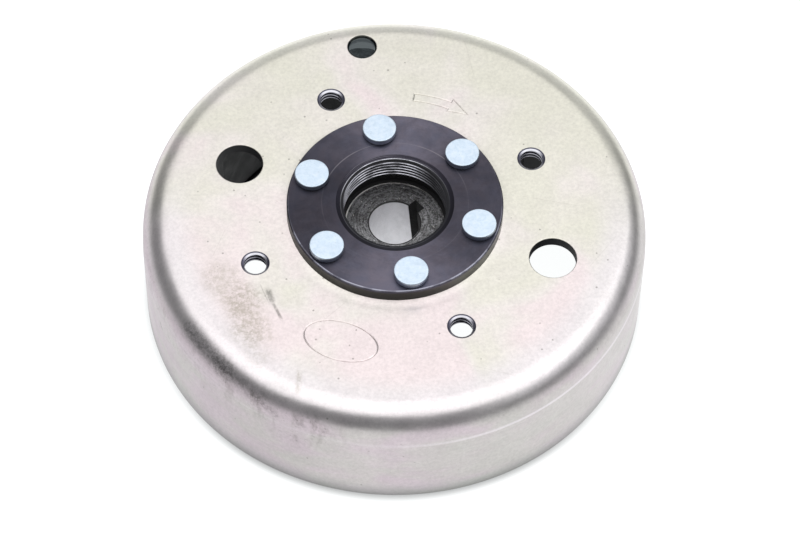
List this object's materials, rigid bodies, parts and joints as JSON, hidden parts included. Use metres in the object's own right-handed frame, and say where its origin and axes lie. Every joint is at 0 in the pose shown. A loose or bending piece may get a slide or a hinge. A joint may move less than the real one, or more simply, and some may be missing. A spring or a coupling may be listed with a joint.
{
  "type": "magneto flywheel",
  "caption": "Cup-shaped magneto flywheel with a riveted tapered hub, an internal puller thread, tapped fan holes and ferrite magnets in a moulded cage.",
  "frame": {"origin": "centre of the open rim, in the plane that the rim stands on", "axes": "+Z along the crankshaft axis from the open rim to the hub flange and the nut recess; +X and +Y lie in the rim plane, 25 degrees and 65 degrees from the first tapped fan hole, and the trigger pad is centred 10 degrees past +Y"},
  "size_m": [0.113, 0.1144, 0.0338],
  "materials": {
    "zinc_plated_steel": "satin, faintly iridescent zinc plating",
    "black_oxide_steel": "satin black oxide over turned steel",
    "rivet_zinc": "satin, blue-white zinc plating",
    "cage_nylon": "gloss, moulded black nylon",
    "ferrite": "matte, ground sintered ferrite"
  },
  "bodies": {
    "root": {"rotor_cup": "zinc_plated_steel", "hub": "black_oxide_steel", "rivet_1": "rivet_zinc", "rivet_2": "rivet_zinc", "rivet_3": "rivet_zinc", "rivet_4": "rivet_zinc", "rivet_5": "rivet_zinc", "rivet_6": "rivet_zinc", "magnet_cage": "cage_nylon", "magnet_1": "ferrite", "magnet_2": "ferrite", "magnet_3": "ferrite", "magnet_4": "ferrite", "magnet_5": "ferrite", "magnet_6": "ferrite"}
  },
  "joints": []
}
